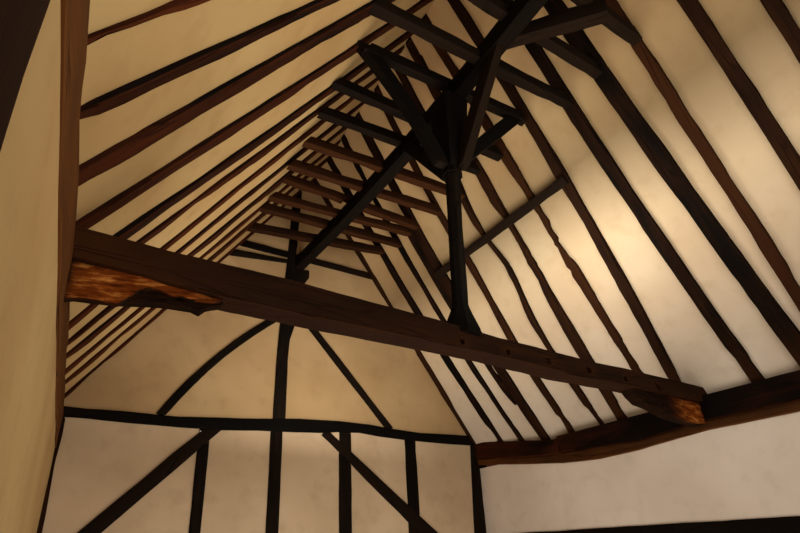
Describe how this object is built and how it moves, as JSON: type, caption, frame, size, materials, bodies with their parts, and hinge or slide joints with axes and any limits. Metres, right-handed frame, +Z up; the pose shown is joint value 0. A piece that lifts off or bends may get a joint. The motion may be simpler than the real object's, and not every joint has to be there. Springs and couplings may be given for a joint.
{
  "type": "crown post roof hall bay",
  "caption": "Timber-framed hall open to a steep crown post roof, with tie beam, braces, collar purlin, collars, close rafters and plaster infill, closed at one end by a framed gable.",
  "frame": {"origin": "centre of the footprint at ground level, under the sills", "axes": "+Z up, +Y along the hall to the closed end wall, +X to the right of someone looking at that wall"},
  "size_m": [6.8508, 7.46, 7.684],
  "materials": {
    "oak": "old dark oak, rough",
    "worn_oak": "broken, worn oak",
    "plaster": "smooth limewashed plaster",
    "tiles": "plain clay tiles"
  },
  "bodies": {
    "root": {"left_sill": "oak", "right_sill": "oak", "end_sill": "oak", "left_corner_post": "oak", "right_corner_post": "oak", "left_wall_timbers": "oak", "right_wall_timbers": "oak", "left_wall_post": "oak", "right_wall_rail": "oak", "end_wall_mid_rail": "oak", "end_wall_studs": "oak", "end_wall_lower_braces": "oak", "end_tie_beam": "oak", "end_crown_post": "oak", "end_down_braces": "oak", "gable_collar_and_rail": "oak", "left_wall_plate": "oak", "right_plate_far_length": "oak", "right_plate_near_length": "oak", "right_plate_ledge": "oak", "tie_beam": "oak", "crown_post": "oak", "cross_braces": "oak", "purlin_braces": "oak", "collar_purlin": "oak", "collar_strut": "oak", "side_purlin": "oak", "left_rafters_far_bay": "oak", "right_rafters_far_bay": "oak", "doubling_rafter": "oak", "left_rafters_near_bay": "oak", "right_rafters_near_bay": "oak", "collars_far_bay": "oak", "collars_near_bay": "oak", "near_tie_beam": "oak", "near_crown_post": "oak", "near_braces": "oak", "left_brace_stub": "worn_oak", "right_brace_stub": "worn_oak", "left_wall_plaster": "plaster", "right_wall_plaster": "plaster", "end_wall_plaster": "plaster", "gable_plaster": "plaster", "left_roof_plaster": "plaster", "right_roof_plaster": "plaster", "left_roof_covering": "tiles", "right_roof_covering": "tiles", "ridge_tiles": "tiles"}
  },
  "joints": []
}
